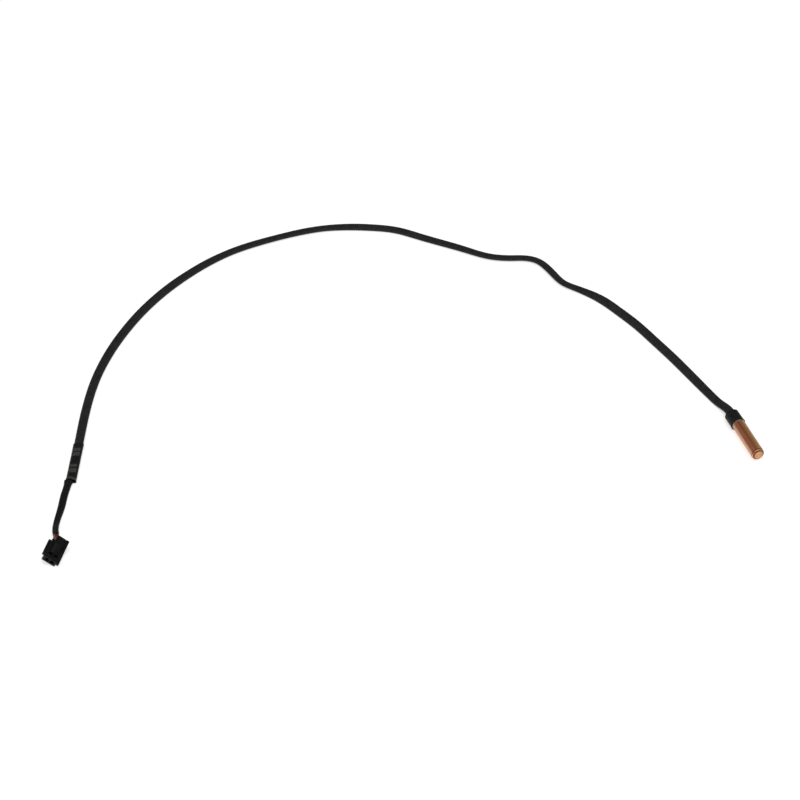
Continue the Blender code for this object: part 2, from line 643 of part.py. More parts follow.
def make_wire(name, pose, side, tail_end, tail_direction, colour):
    """One insulated wire, from the end of the tail tube into its crimp."""
    across = tail_direction.cross(Vector((0, 0, 1))).normalized()
    start = tail_end + tail_direction * FACE_GAP - across * side * TAIL_WIRE_PITCH / 2
    rear = -HOUSING_LENGTH / 2
    along = (rear - WIRE_DIAMETER, rear, CRIMPED_WIRE_END_X)
    way = [pose @ Vector((x, side * WAY_PITCH / 2, -WAY_DROP)) for x in along]
    route = smooth_route([start, start + tail_direction * WIRE_DIAMETER, *way], WIRE_DIAMETER)
    cord(name, route, WIRE_DIAMETER, THIN_BEVEL_RESOLUTION, finish(name, colour, 0.45))


def make_connector(tail_end, tail_direction):
    """The connector and the two wires that run into it."""
    place_of = (*HOUSING_MIDDLE, HOUSING_AXIS_HEIGHT)
    turn = (-HOUSING_ROLL, 0.0, radians(HOUSING_HEADING_DEG))
    frame = empty("connector", place_of, turn)
    pose = Matrix.LocRotScale(Vector(place_of), frame.rotation_euler, None)
    make_housing(frame)
    for side, suffix in ((-1, "a"), (1, "b")):
        make_contact(frame, side, suffix)
    make_wire("wire_brown", pose, -1, tail_end, tail_direction, (0.33, 0.13, 0.09))
    make_wire("wire_red", pose, 1, tail_end, tail_direction, (0.35, 0.05, 0.07))


def make_cable():
    """The lead, the label sleeve, the tail, and the connector at its end."""
    lead_black = finish("lead", (0.032, 0.030, 0.032), 0.6)
    tail_black = finish("tail_tube", (0.02, 0.02, 0.021), 0.5)
    make_lead(lead_black)
    make_label_sleeve(lead_black, tail_black)
    make_connector(*make_tail(tail_black))


clear_scene()
make_probe()
make_cable()
bpy.context.view_layer.update()
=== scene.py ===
"""Looks of the bead thermistor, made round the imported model.

Units are metres, +Z is up and +X runs along the probe towards its closed tip. The pieces that show
are modelled finely here, in the places of the solids that they stand for, and every piece gets a
procedural material.
"""

from math import cos, pi, radians, sin

import bmesh
import bpy
import numpy as np
from mathutils import Matrix, Vector


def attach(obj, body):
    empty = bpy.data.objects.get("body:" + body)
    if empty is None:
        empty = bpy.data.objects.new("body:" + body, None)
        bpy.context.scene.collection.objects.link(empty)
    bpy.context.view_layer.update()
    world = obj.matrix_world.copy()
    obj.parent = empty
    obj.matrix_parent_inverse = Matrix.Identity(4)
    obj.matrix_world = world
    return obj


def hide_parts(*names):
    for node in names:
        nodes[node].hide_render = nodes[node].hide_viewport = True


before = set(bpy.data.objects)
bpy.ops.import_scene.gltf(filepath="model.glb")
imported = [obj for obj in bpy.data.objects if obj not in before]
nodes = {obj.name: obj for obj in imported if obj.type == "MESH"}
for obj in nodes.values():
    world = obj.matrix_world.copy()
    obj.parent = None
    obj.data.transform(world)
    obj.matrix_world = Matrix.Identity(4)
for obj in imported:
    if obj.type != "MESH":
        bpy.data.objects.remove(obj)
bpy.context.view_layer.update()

# In the names below, a run is how far along a piece a change takes, and a rate is radians per metre.

# Camera and studio
CAMERA_TARGET = (-0.0729, -0.1412, 0.0)
CAMERA_AZIMUTH_DEG = 72.55
CAMERA_ELEVATION_DEG = 41.0
CAMERA_DISTANCE = 1.0
CAMERA_LENS_MM = 96.8
CAMERA_SENSOR_MM = 36.0
CAMERA_CLIP_START = 0.01
CAMERA_CLIP_END = 20.0
FLOOR_SIZE = 6.0
FLOOR_GLOW = 0.62
WORLD_STRENGTH = 0.22
TOP_LIGHT_SIZE = 1.2
TOP_LIGHT_POWER = 8.5
TOP_LIGHT_PLACE = (0.40, -0.20, 1.35)

# Probe
CAN_DIAMETER = 0.0060
CAN_LENGTH = 0.0280
CAN_WALL = 0.0004
CAN_CORNER = 0.0011
CAN_FACE_INSET = 0.0004
TIP_RINGS_LENGTH = 0.00143
PALE_BAND_LENGTH = 0.0014
COLLAR_OVERLAP = 0.0060
COLLAR_REACH = 0.0024
COLLAR_DIAMETER = 0.0068
COLLAR_SHOWN_REACH = 0.0010
COLLAR_SHOULDER = 0.00025
COLLAR_SHRINK = 0.00004
COLLAR_FLARE = 0.00011
COLLAR_FLARE_RUN = 0.0010
COLLAR_RIPPLE = 0.00002
COLLAR_RIPPLE_RATE = 2600
COLLAR_DRIFT = 0.00028
COLLAR_REAR_BULGE = 0.00002
COLLAR_TUCK = 0.00015
COLLAR_NECK_LENGTH = 0.0005
COLLAR_RIM_SLACK = 0.00005
COLLAR_LIFT_RUN = 0.013

# Flat lead
LEAD_WIDTH = 0.0043
LEAD_THICKNESS = 0.0021
LEAD_SQUARENESS = 2.3
LEAD_DEPTH_IN_COLLAR = 0.0023
LEAD_EXIT_DROP = 0.0004
LEAD_STEP = 0.0009
LEAD_WOBBLE_DEG = 0.8
LEAD_WOBBLE_RATE = 233
LEAD_ROLL_BLUR = 4

# Marking sleeve
SLEEVE_LENGTH = 0.0230
SLEEVE_TAIL_REACH = 0.0013
SLEEVE_WALL = 0.00026
SLEEVE_MIDDLE = (-0.0752, -0.2934)
SLEEVE_HEADING_DEG = -19.1
SLEEVE_STEP = 0.0005
SLEEVE_ROLL_DEG = -8.0
SLEEVE_LIP = 0.00016
SLEEVE_LIP_RUN = 0.0007
SLEEVE_SLANT = 0.0014
SLEEVE_SLANT_RUN = 0.0060
SLEEVE_SWELL = 0.0001
SLEEVE_SWELL_PLACE = 0.0012
SLEEVE_SWELL_RUN = 0.0009
SLEEVE_RIPPLE = 0.00003
SLEEVE_RIPPLE_RATES = (1400, 610)
SLEEVE_CLOSING = 0.00016
SLEEVE_CLOSING_RUN = 0.0004
SLEEVE_SLACK = 0.00004
SLEEVE_CUT_EDGE_SPANS = 4

# Tail
TAIL_WIDTH = 0.00335
TAIL_THICKNESS = 0.0020
TAIL_WAIST = 0.22
TAIL_DIAMETER = 0.0030
TAIL_SIDE_OFFSET = -0.0009
TAIL_STEP = 0.0004
TAIL_MOUTH_DEPTH = 0.0006
TAIL_FLARE = 0.24
TAIL_FLARE_RUN = 0.0016
TAIL_NARROWING = 0.14
TAIL_NARROWING_START = 0.0120
TAIL_NARROWING_RUN = 0.0160
TAIL_PRESSED_WIDTH = 0.80
TAIL_PRESSED_THICKNESS = 0.70
TAIL_LIFT_RUN = 0.0060
TAIL_ROLL_PLACE = 0.0280
TAIL_ROLL_DEG = 6.0
TAIL_END_ROLL_DEG = -20.0
WAIST_WIDTH = 0.34
WIRE_DIAMETER = 0.00125
WIRE_DEPTH_IN_TAIL = 0.0015
TAIL_WIRE_PITCH = 0.0013
BROWN_WIRE_BOW = 0.0006
RED_WIRE_BOW = -0.0010
WIRE_ENTRY_SHIFT = 0.0003
FACE_GAP = 0.0003
FIT_GAP = 0.00015

# Connector
HOUSING_WIDTH = 0.0064
HOUSING_LENGTH = 0.0101
HOUSING_HEIGHT = 0.0040
HOUSING_EDGE = 0.0002
HOUSING_FRONT_CHAMFER = 0.0008
HOUSING_MIDDLE = (-0.01889, -0.31353)
HOUSING_HEADING_DEG = -29.4
HOUSING_ROLL_DEG = 33.4
WAY_PITCH = 0.0025
WAY_SIZE = 0.0020
WAY_DROP = 0.00025
RAIL_DEPTH = 0.0010
RAIL_HEIGHT = 0.0012
RAIL_SHORT_SETBACK = 0.0014
WINDOW_LENGTH = 0.0015
WINDOW_WIDTH = 0.0016
WINDOW_SETBACK = 0.0013
LATCH_WIDTH = 0.0034
LATCH_THICKNESS = 0.0006
LATCH_ROOT_LENGTH = 0.0012
LATCH_ROOT_RISE = 0.00015
LATCH_SETBACK = 0.0030
LATCH_PAD_WIDTH = 0.0040
LATCH_PAD_LENGTH = 0.0044
LATCH_PAD_RISE = 0.00164
LATCH_PAD_STEP = 0.0001
LATCH_OVERHANG = 0.00165
GUARD_GROOVE = 0.0003
GUARD_STEP_OUT = 0.0005
GUARD_LENGTH = 0.0043
GUARD_CORNER = 0.0004
HOUSING_SOFT_EDGE = 0.00009
HOUSING_SHARP_ABOVE_DEG = 35
CRIMPED_WIRE_END_X = -0.00305

# Fineness of the meshes
CAN_SIDES = 96
COLLAR_SIDES = 64
COLLAR_STEPS = 36
LEAD_SIDES = 32
TAIL_SIDES = 40
WIRE_SIDES = 24
SHOULDER_STEPS = 8
CORNER_STEPS = 10
EDGE_STEPS = 3
RING_SPACING_IN_UV = 0.001
MERGE_DISTANCE = 1e-7
SMOOTH_BELOW_DEG = 40
CAN_SMOOTH_BELOW_DEG = 50

# Sizes and places that follow from those above
PROBE_LENGTH = CAN_LENGTH + COLLAR_REACH
AXIS_HEIGHT = COLLAR_DIAMETER / 2
TIP_X = PROBE_LENGTH / 2
MOUTH_X = TIP_X - CAN_LENGTH
COLLAR_REAR_X = -PROBE_LENGTH / 2
COLLAR_RIM_X = MOUTH_X + COLLAR_OVERLAP
COLLAR_SHOWN_REAR_X = MOUTH_X - COLLAR_SHOWN_REACH
LEAD_END_X = COLLAR_REAR_X + LEAD_DEPTH_IN_COLLAR
HOUSING_ROLL = radians(HOUSING_ROLL_DEG)
HOUSING_EDGE_Y = HOUSING_WIDTH / 2 - HOUSING_EDGE
HOUSING_EDGE_Z = HOUSING_HEIGHT / 2 - HOUSING_EDGE
HOUSING_AXIS_HEIGHT = HOUSING_EDGE_Y * sin(HOUSING_ROLL) + HOUSING_EDGE_Z * cos(HOUSING_ROLL) + HOUSING_EDGE

# Where the lead lies between the probe and the sleeve, as places on the surface
LEAD_ROUTE = [
    (-0.0216, -0.0006), (-0.0280, -0.0020), (-0.0345, -0.0034), (-0.0486, -0.0064), (-0.0623, -0.0094),
    (-0.0762, -0.0128), (-0.0898, -0.0163), (-0.1030, -0.0209), (-0.1159, -0.0263), (-0.1262, -0.0338),
    (-0.1313, -0.0377), (-0.1388, -0.0399), (-0.1465, -0.0415), (-0.1529, -0.0444), (-0.1566, -0.0495),
    (-0.1585, -0.0554), (-0.1635, -0.0661), (-0.1721, -0.0754), (-0.1896, -0.0942), (-0.1983, -0.1038),
    (-0.2041, -0.1149), (-0.2109, -0.1385), (-0.2104, -0.1635), (-0.2058, -0.1886), (-0.1945, -0.2128),
    (-0.1776, -0.2357), (-0.1554, -0.2562), (-0.1287, -0.2733), (-0.1086, -0.2819), (-0.0962, -0.2863),
]

# Where the tail's middle lies between the sleeve and the wires
TAIL_ROUTE = [
    (-0.0552, -0.3022, 0.0015), (-0.0484, -0.3047, 0.0015), (-0.0413, -0.3077, 0.0018),
    (-0.0370, -0.3092, 0.0023), (-0.0332, -0.3101, 0.0028), (-0.0294, -0.3105, 0.0031),
]

# How the flat lead is rolled about its own line, as (metres along it from the probe, degrees). A
# positive roll lifts its right-hand side, as seen from the probe.
LEAD_ROLL = [
    (0.000, 9.0), (0.022, 12.0), (0.034, 26.0), (0.046, 40.0), (0.070, 46.0), (0.098, 38.0), (0.106, 18.0),
    (0.116, -4.0), (0.128, -14.0), (0.150, -9.0), (0.180, -5.0), (0.205, 5.0), (0.245, 8.0), (0.262, -2.0),
    (0.290, -4.0), (0.320, 3.0), (0.350, 16.0), (0.400, 18.0), (0.430, 0.0), (0.470, -8.0), (0.490, -8.0),
]

BLACK, WHITE = (0.0, 0.0, 0.0), (1.0, 1.0, 1.0)

# A Mix node's sockets for colours go by number, because those for other types share their names
MIX_FACTOR, MIX_FIRST, MIX_SECOND, MIX_RESULT = 0, 6, 7, 2


# Materials

def add(tree, kind, inputs=None, **settings):
    """Adds a shader node, with its sockets' values and its settings."""
    made = tree.nodes.new(kind)
    for name, value in settings.items():
        setattr(made, name, value)
    for name, value in (inputs or {}).items():
        made.inputs[name].default_value = value
    return made


def join(tree, source, output, target, socket):
    """Links one node's output to another's input."""
    tree.links.new(source.outputs[output], target.inputs[socket])


def new_material(name, **sockets):
    """A material with a Principled BSDF, whose sockets are given with underscores for spaces."""
    material = bpy.data.materials.new(name)
    material.use_nodes = True
    tree = material.node_tree
    shader = tree.nodes["Principled BSDF"]
    for socket, value in sockets.items():
        shader.inputs[socket.replace("_", " ")].default_value = value
    return material, tree, shader


def coordinates(tree, stretch=(1.0, 1.0, 1.0), source="Object"):
    """Texture coordinates, stretched along the axes."""
    place = add(tree, "ShaderNodeTexCoord")
    mapping = add(tree, "ShaderNodeMapping", {"Scale": stretch})
    join(tree, place, source, mapping, "Vector")
    return mapping


def noise(tree, place, scale, detail=4.0, roughness=0.55, distortion=0.0):
    """Noise at a number of features per metre."""
    made = add(tree, "ShaderNodeTexNoise", {
        "Scale": scale, "Detail": detail, "Roughness": roughness, "Distortion": distortion,
    })
    join(tree, place, "Vector", made, "Vector")
    return made


def ramp(tree, source, output, stops, constant=False):
    """A colour ramp. Stops hold (position, colour)."""
    made = add(tree, "ShaderNodeValToRGB")
    made.color_ramp.interpolation = "CONSTANT" if constant else "LINEAR"
    elements = made.color_ramp.elements
    while len(elements) < len(stops):
        elements.new(0.5)
    for element, (position, colour) in zip(elements, stops):
        element.position = position
        element.color = (*colour, 1.0)
    join(tree, source, output, made, "Fac")
    return made


def spread(tree, source, output, low, high, from_low=0.3, from_high=0.7):
    """Maps a range, which is a noise's usual one where none is given, to another."""
    made = add(tree, "ShaderNodeMapRange", {
        "From Min": from_low, "From Max": from_high, "To Min": low, "To Max": high,
    })
    join(tree, source, output, made, "Value")
    return made


def scaled(colour, factor):
    """A colour made darker or lighter."""
    return tuple(min(1.0, c * factor) for c in colour)


def blend_colours(tree, factor, factor_output, first, second):
    """Mixes two (node, output) colours by a factor."""
    made = add(tree, "ShaderNodeMix", data_type="RGBA")
    join(tree, factor, factor_output, made, MIX_FACTOR)
    join(tree, *first, made, MIX_FIRST)
    join(tree, *second, made, MIX_SECOND)
    return made


def multiply_colours(tree, blend, shade):
    """Darkens a blend's colour by a ramp's."""
    made = add(tree, "ShaderNodeMix", {MIX_FACTOR: 1.0}, data_type="RGBA", blend_type="MULTIPLY")
    join(tree, blend, MIX_RESULT, made, MIX_FIRST)
    join(tree, shade, "Color", made, MIX_SECOND)
    return made


def roughen(tree, shader, source, low, high, *source_range):
    """Varies a shader's roughness with a texture."""
    gloss = spread(tree, source, "Fac", low, high, *source_range)
    join(tree, gloss, "Result", shader, "Roughness")


def bump(tree, shader, heights):
    """Chains bumps into a shader's normal. Heights hold (node, output, strength, distance)."""
    below = None
    for source, output, strength, distance in heights:
        made = add(tree, "ShaderNodeBump", {"Strength": strength, "Distance": distance})
        join(tree, source, output, made, "Height")
        if below:
            join(tree, below, "Normal", made, "Normal")
        below = made
    join(tree, below, "Normal", shader, "Normal")


def copper_painted_reflections(tree, axes):
    """Copper whose colour carries painted reflections and painted shade, in pale and dark bands that change
    across the can from its -Y side to its +Y side.
    """
    sideways = spread(tree, axes, "Y", 0.0, 1.0, -CAN_DIAMETER / 2, CAN_DIAMETER / 2)
    return ramp(tree, sideways, "Result", [
        (0.02, (0.61, 0.40, 0.29)), (0.05, (0.56, 0.28, 0.175)), (0.09, (0.56, 0.20, 0.09)),
        (0.14, (0.82, 0.27, 0.105)), (0.19, (0.92, 0.42, 0.23)), (0.25, (0.71, 0.31, 0.18)),
        (0.32, (0.53, 0.20, 0.11)), (0.39, (0.56, 0.22, 0.10)), (0.46, (0.71, 0.32, 0.115)),
        (0.55, (0.97, 0.50, 0.17)), (0.64, (1.00, 0.70, 0.29)), (0.74, (1.00, 0.70, 0.46)),
        (0.84, (0.88, 0.52, 0.33)), (0.95, (0.76, 0.40, 0.25)),
    ])


def paint_tip_highlights(tree, lengthways, blotches, colour):
    """Painted highlights: a bright ring round the tip's corner, and the bright flat face."""
    highlight_share = scaled(WHITE, 0.6)
    where = ramp(tree, lengthways, "Result", [
        (0.45, BLACK), (0.62, highlight_share), (0.78, highlight_share), (0.86, BLACK), (0.980, BLACK), (0.994, WHITE),
    ])
    bright = ramp(tree, blotches, "Fac", [(0.30, (0.62, 0.33, 0.17)), (0.70, (0.84, 0.52, 0.31))])
    return blend_colours(tree, where, "Color", colour, (bright, "Color"))


def pale_band_by_collar(tree, axes, blotches, colour):
    """A pale band where the can comes out of the collar."""
    place = spread(tree, axes, "X", 0.0, 1.0, COLLAR_RIM_X, COLLAR_RIM_X + PALE_BAND_LENGTH)
    where = ramp(tree, place, "Result", [(0.50, scaled(WHITE, 0.6)), (0.90, BLACK)])
    pale_copper = ramp(tree, blotches, "Fac", [(0.30, (0.85, 0.60, 0.46)), (0.70, (1.00, 0.80, 0.66))])
    return blend_colours(tree, where, "Color", colour, (pale_copper, "Color"))


def tip_painted_dark_rings(tree, lengthways):
    """Painted shade: two dark rings at the tip, a soft one behind the corner and a sharp one round the flat
    face.
    """
    soft, sharp = (0.50, 0.42, 0.40), (0.24, 0.17, 0.12)
    return ramp(tree, lengthways, "Result", [
        (0.00, WHITE), (0.18, soft), (0.36, soft), (0.55, WHITE), (0.80, WHITE), (0.87, sharp),
        (0.980, sharp), (0.994, WHITE),
    ])


def copper_material():
    """Drawn copper: lengthwise drawing lines and streaks over painted reflections and shade, with painted
    highlights and dark rings at the tip.
    """
    material, tree, shader = new_material("copper_drawn", Metallic=1.0)
    along = coordinates(tree, (0.05, 1.0, 1.0))
    plain = coordinates(tree)
    lines = noise(tree, along, 2600, detail=5, roughness=0.65)
    bands = noise(tree, along, 420, detail=3)
    blotches = noise(tree, plain, 260, detail=5, distortion=0.6)
    axes = add(tree, "ShaderNodeSeparateXYZ")
    join(tree, plain, "Vector", axes, "Vector")
    lengthways = spread(tree, axes, "X", 0.0, 1.0, TIP_X - TIP_RINGS_LENGTH, TIP_X)
    # Painted reflections and shade round the can, then painted highlights at the tip and a pale band by the
    # collar.
    colour = paint_tip_highlights(tree, lengthways, blotches, (copper_painted_reflections(tree, axes), "Color"))
    colour = pale_band_by_collar(tree, axes, blotches, (colour, MIX_RESULT))
    streaks = ramp(tree, bands, "Fac", [
        (0.34, (0.74, 0.66, 0.62)), (0.50, (0.94, 0.91, 0.89)), (0.66, WHITE),
    ])
    drawing = ramp(tree, lines, "Fac", [(0.25, (0.80, 0.76, 0.74)), (0.60, WHITE)])
    # The tip's dark rings are painted shade; the streaks and drawing lines are the copper's own.
    for shade in (tip_painted_dark_rings(tree, lengthways), streaks, drawing):
        colour = multiply_colours(tree, colour, shade)
    join(tree, colour, MIX_RESULT, shader, "Base Color")
    roughen(tree, shader, blotches, 0.46, 0.56)
    bump(tree, shader, [(lines, "Fac", 0.25, 0.00002), (blotches, "Fac", 0.12, 0.00006)])
    return material


def black_plastic(name, colour, roughness, specular, grain=0.00002, tint=0.35, along_metres=True):
    """Black insulation or moulding: a faint mottle in the colour, and a fine grain.

    The grain is drawn out along a piece whose UV map holds metres along it.
    """
    material, tree, shader = new_material(name, Specular_IOR_Level=specular)
    stretch = (0.25, 1.0, 1.0) if along_metres else (1.0, 1.0, 1.0)
    place = coordinates(tree, stretch, "UV" if along_metres else "Object")
    solid = coordinates(tree)
    fine = noise(tree, place, 2500, detail=4, roughness=0.6)
    mottle = noise(tree, solid, 700, detail=5, roughness=0.6)
    dark, light = scaled(colour, 1 - tint), scaled(colour, 1 + tint)
    shade = ramp(tree, mottle, "Fac", [(0.32, dark), (0.50, colour), (0.70, light)])
    join(tree, shade, "Color", shader, "Base Color")
    roughen(tree, shader, mottle, roughness - 0.06, roughness + 0.08)
    bump(tree, shader, [(mottle, "Fac", 0.2, grain * 3), (fine, "Fac", 0.3, grain)])
    return material


def insulation_material(name, colour):
    """Thin coloured insulation with a slight sheen and a mottle."""
    material, tree, shader = new_material(name, Specular_IOR_Level=0.4)
    mottle = noise(tree, coordinates(tree), 900, detail=4)
    dark, light = scaled(colour, 0.7), scaled(colour, 1.25)
    shade = ramp(tree, mottle, "Fac", [(0.30, dark), (0.50, colour), (0.72, light)])
    join(tree, shade, "Color", shader, "Base Color")
    roughen(tree, shader, mottle, 0.35, 0.5)
    bump(tree, shader, [(mottle, "Fac", 0.2, 0.00003)])
    return material


def metal_material(name, dark, light, roughness):
    """Plated or bare metal: rolled lines and a patchy tone."""
    material, tree, shader = new_material(name, Metallic=1.0)
    patches = noise(tree, coordinates(tree), 1400, detail=4)
    lines = noise(tree, coordinates(tree, (0.1, 1.0, 1.0)), 6000, detail=3)
    shade = ramp(tree, patches, "Fac", [(0.3, dark), (0.7, light)])
    join(tree, shade, "Color", shader, "Base Color")
    roughen(tree, shader, patches, roughness - 0.08, roughness + 0.08)
    bump(tree, shader, [(lines, "Fac", 0.2, 0.00001)])
    return material


def resin_material():
    """Dark potting resin with tiny bubbles and filler."""
    material, tree, shader = new_material("potting_resin", Specular_IOR_Level=0.45)
    filler = noise(tree, coordinates(tree), 1800, detail=6)
    bubbles = add(tree, "ShaderNodeTexVoronoi", {"Scale": 2200.0})
    join(tree, coordinates(tree), "Vector", bubbles, "Vector")
    shade = ramp(tree, filler, "Fac", [(0.3, (0.035, 0.032, 0.028)), (0.7, (0.085, 0.078, 0.068))])
    join(tree, shade, "Color", shader, "Base Color")
    roughen(tree, shader, filler, 0.35, 0.6)
    bump(tree, shader, [(bubbles, "Distance", 0.3, 0.00004), (filler, "Fac", 0.2, 0.00003)])
    return material


def bead_material():
    """Glass over a dark ceramic bead: a green-grey body under a clear coat."""
    material, tree, shader = new_material("bead_glass", Coat_Weight=1.0, Coat_Roughness=0.05)
    cloud = noise(tree, coordinates(tree), 1500, detail=4, distortion=0.8)
    shade = ramp(tree, cloud, "Fac", [
        (0.3, (0.05, 0.11, 0.07)), (0.55, (0.10, 0.20, 0.13)), (0.8, (0.2, 0.3, 0.2)),
    ])
    join(tree, shade, "Color", shader, "Base Color")
    roughen(tree, shader, cloud, 0.12, 0.3)
    bump(tree, shader, [(cloud, "Fac", 0.15, 0.00004)])
    return material


def film_material():
    """Amber film round the bead's legs, with its wound edge."""
    material, tree, shader = new_material("amber_film", Specular_IOR_Level=0.5, Transmission_Weight=0.15)
    settings = {"Scale": 900.0, "Distortion": 0.6, "Detail": 2.0}
    winding = add(tree, "ShaderNodeTexWave", settings, bands_direction="X")
    join(tree, coordinates(tree), "Vector", winding, "Vector")
    shade = ramp(tree, winding, "Fac", [(0.0, (0.42, 0.18, 0.03)), (0.7, (0.60, 0.30, 0.07))])
    join(tree, shade, "Color", shader, "Base Color")
    roughen(tree, shader, winding, 0.25, 0.4, 0.0, 1.0)
    bump(tree, shader, [(winding, "Fac", 0.25, 0.00002)])
    return material


def sleeve_material():
    """Shrunk black film with two groups of plain pale bars across its upper side."""
    material, tree, shader = new_material("marked_film", Specular_IOR_Level=0.22)
    film, pale = (0.0085, 0.0082, 0.0086), (0.100, 0.103, 0.092)
    uv = add(tree, "ShaderNodeTexCoord")
    parts = add(tree, "ShaderNodeSeparateXYZ")
    join(tree, uv, "UV", parts, "Vector")
    along = spread(tree, parts, "X", 0.0, 1.0, 0.0, SLEEVE_LENGTH)
    bars = ramp(tree, along, "Result", [
        (0.0, BLACK), (0.180, WHITE), (0.265, BLACK), (0.295, WHITE), (0.405, BLACK),
        (0.645, WHITE), (0.725, BLACK), (0.765, WHITE), (0.880, BLACK),
    ], constant=True)
    across = ramp(tree, parts, "Y", [(0.0, BLACK), (0.16, WHITE), (0.37, BLACK)], constant=True)
    ink = noise(tree, coordinates(tree), 3200, detail=3)
    worn = spread(tree, ink, "Fac", 0.25, 1.0, 0.36, 0.56)
    both = add(tree, "ShaderNodeMath", operation="MULTIPLY")
    join(tree, bars, "Color", both, 0)
    join(tree, across, "Color", both, 1)
    inked = add(tree, "ShaderNodeMath", operation="MULTIPLY")
    join(tree, both, "Value", inked, 0)
    join(tree, worn, "Result", inked, 1)
    mottle = noise(tree, coordinates(tree), 800, detail=5)
    base = ramp(tree, mottle, "Fac", [(0.3, scaled(film, 0.7)), (0.7, scaled(film, 1.35))])
    marks = ramp(tree, mottle, "Fac", [(0.3, scaled(pale, 0.8)), (0.7, pale)])
    colour = blend_colours(tree, inked, "Value", (base, "Color"), (marks, "Color"))
    join(tree, colour, MIX_RESULT, shader, "Base Color")
    roughen(tree, shader, mottle, 0.42, 0.58)
    bump(tree, shader, [(mottle, "Fac", 0.25, 0.00008), (ink, "Fac", 0.15, 0.00001)])
    return material


def floor_material():
    """A pale light table: white paper that also glows a little from below."""
    material, tree, shader = new_material("pale_paper", Specular_IOR_Level=0.1)
    fibre = noise(tree, coordinates(tree), 300, detail=3)
    shade = ramp(tree, fibre, "Fac", [(0.3, (0.93, 0.93, 0.925)), (0.7, (0.95, 0.95, 0.945))])
    join(tree, shade, "Color", shader, "Base Color")
    join(tree, shade, "Color", shader, "Emission Color")
    shader.inputs["Emission Strength"].default_value = FLOOR_GLOW
    shader.inputs["Roughness"].default_value = 0.95
    return material


# Shapes

def smooth_route(points, spacing):
    """Points about one spacing apart on the natural cubic spline through the given points."""
    knots = np.array(points, float)
    chords = np.linalg.norm(np.diff(knots, axis=0), axis=1)
    run = np.concatenate([[0.0], np.cumsum(chords)])
    count = len(knots)
    system = np.eye(count)
    bends = np.zeros_like(knots)
    for i in range(1, count - 1):
        before, after = chords[i - 1], chords[i]
        system[i, i - 1:i + 2] = before, 2 * (before + after), after
        bends[i] = 6 * ((knots[i + 1] - knots[i]) / after - (knots[i] - knots[i - 1]) / before)
    second = np.linalg.solve(system, bends)
    route = []
    for place in np.linspace(0.0, run[-1], max(2, round(run[-1] / spacing)) + 1):
        i = min(int(np.searchsorted(run, place, side="right")) - 1, count - 2)
        span = chords[i]
        left, right = run[i + 1] - place, place - run[i]
        point = second[i] * left ** 3 / (6 * span) + second[i + 1] * right ** 3 / (6 * span)
        point = point + (knots[i] / span - second[i] * span / 6) * left
        route.append(point + (knots[i + 1] / span - second[i + 1] * span / 6) * right)
    return np.array(route)


def distances(route):
    """How far along a route each of its points is."""
    return np.concatenate([[0.0], np.cumsum(np.linalg.norm(np.diff(route, axis=0), axis=1))])


def directions(route):
    """The direction of a route at each of its points, with the level side and the upper side."""
    ahead = np.gradient(route, axis=0)
    ahead /= np.linalg.norm(ahead, axis=1)[:, None]
    side = np.cross(ahead, (0.0, 0.0, 1.0))
    side /= np.linalg.norm(side, axis=1)[:, None]
    return ahead, side, np.cross(side, ahead)


def ease(value):
    """A smooth step from 0 to 1."""
    value = np.clip(value, 0.0, 1.0)
    return value * value * (3 - 2 * value)


def blurred(values, reach):
    """Each value averaged with as many neighbours on each side as the reach says."""
    window = 2 * reach + 1
    return np.convolve(np.pad(values, reach, mode="edge"), np.ones(window) / window, mode="valid")


def hump(distance, run):
    """A smooth hump that is 1 where the distance is 0 and fades past the run."""
    return np.exp(-(distance / run) ** 2)


def flat_oval(width, thickness, squareness=2.0, waist=0.0, sides=LEAD_SIDES):
    """An outline of (across, up) points. A waist pinches it between two round lobes."""
    angles = np.linspace(0.0, 2 * pi, sides, endpoint=False)
    across = np.sign(np.cos(angles)) * np.abs(np.cos(angles)) ** (2 / squareness)
    up = np.sign(np.sin(angles)) * np.abs(np.sin(angles)) ** (2 / squareness)
    pinch = 1 - waist * hump(across, WAIST_WIDTH)
    return np.column_stack([across * width / 2, up * thickness / 2 * pinch])


def rolled(side, upper, roll):
    """A section's width and thickness axes after a roll, which lifts the level side when positive."""
    roll = np.atleast_1d(roll)[:, None]
    return side * np.cos(roll) + upper * np.sin(roll), upper * np.cos(roll) - side * np.sin(roll)


def rest_height(outline, across, thick):
    """How high a section's middle lies when its lowest point touches the surface."""
    return -min(x * across[2] + y * thick[2] for x, y in outline)


def ring_at(centre, across, thick, outline):
    """A ring of points in space."""
    return [centre + across * x + thick * y for x, y in outline]


def finish_mesh(name, bm, materials, smooth_below_deg=SMOOTH_BELOW_DEG):
    """Turns a bmesh into a smooth-shaded object with outward faces."""
    bmesh.ops.recalc_face_normals(bm, faces=bm.faces)
    mesh = bpy.data.meshes.new(name)
    bm.to_mesh(mesh)
    bm.free()
    mesh.shade_smooth()
    mesh.set_sharp_from_angle(angle=radians(smooth_below_deg))
    for material in materials:
        mesh.materials.append(material)
    made = bpy.data.objects.new(name, mesh)
    bpy.context.scene.collection.objects.link(made)
    return made


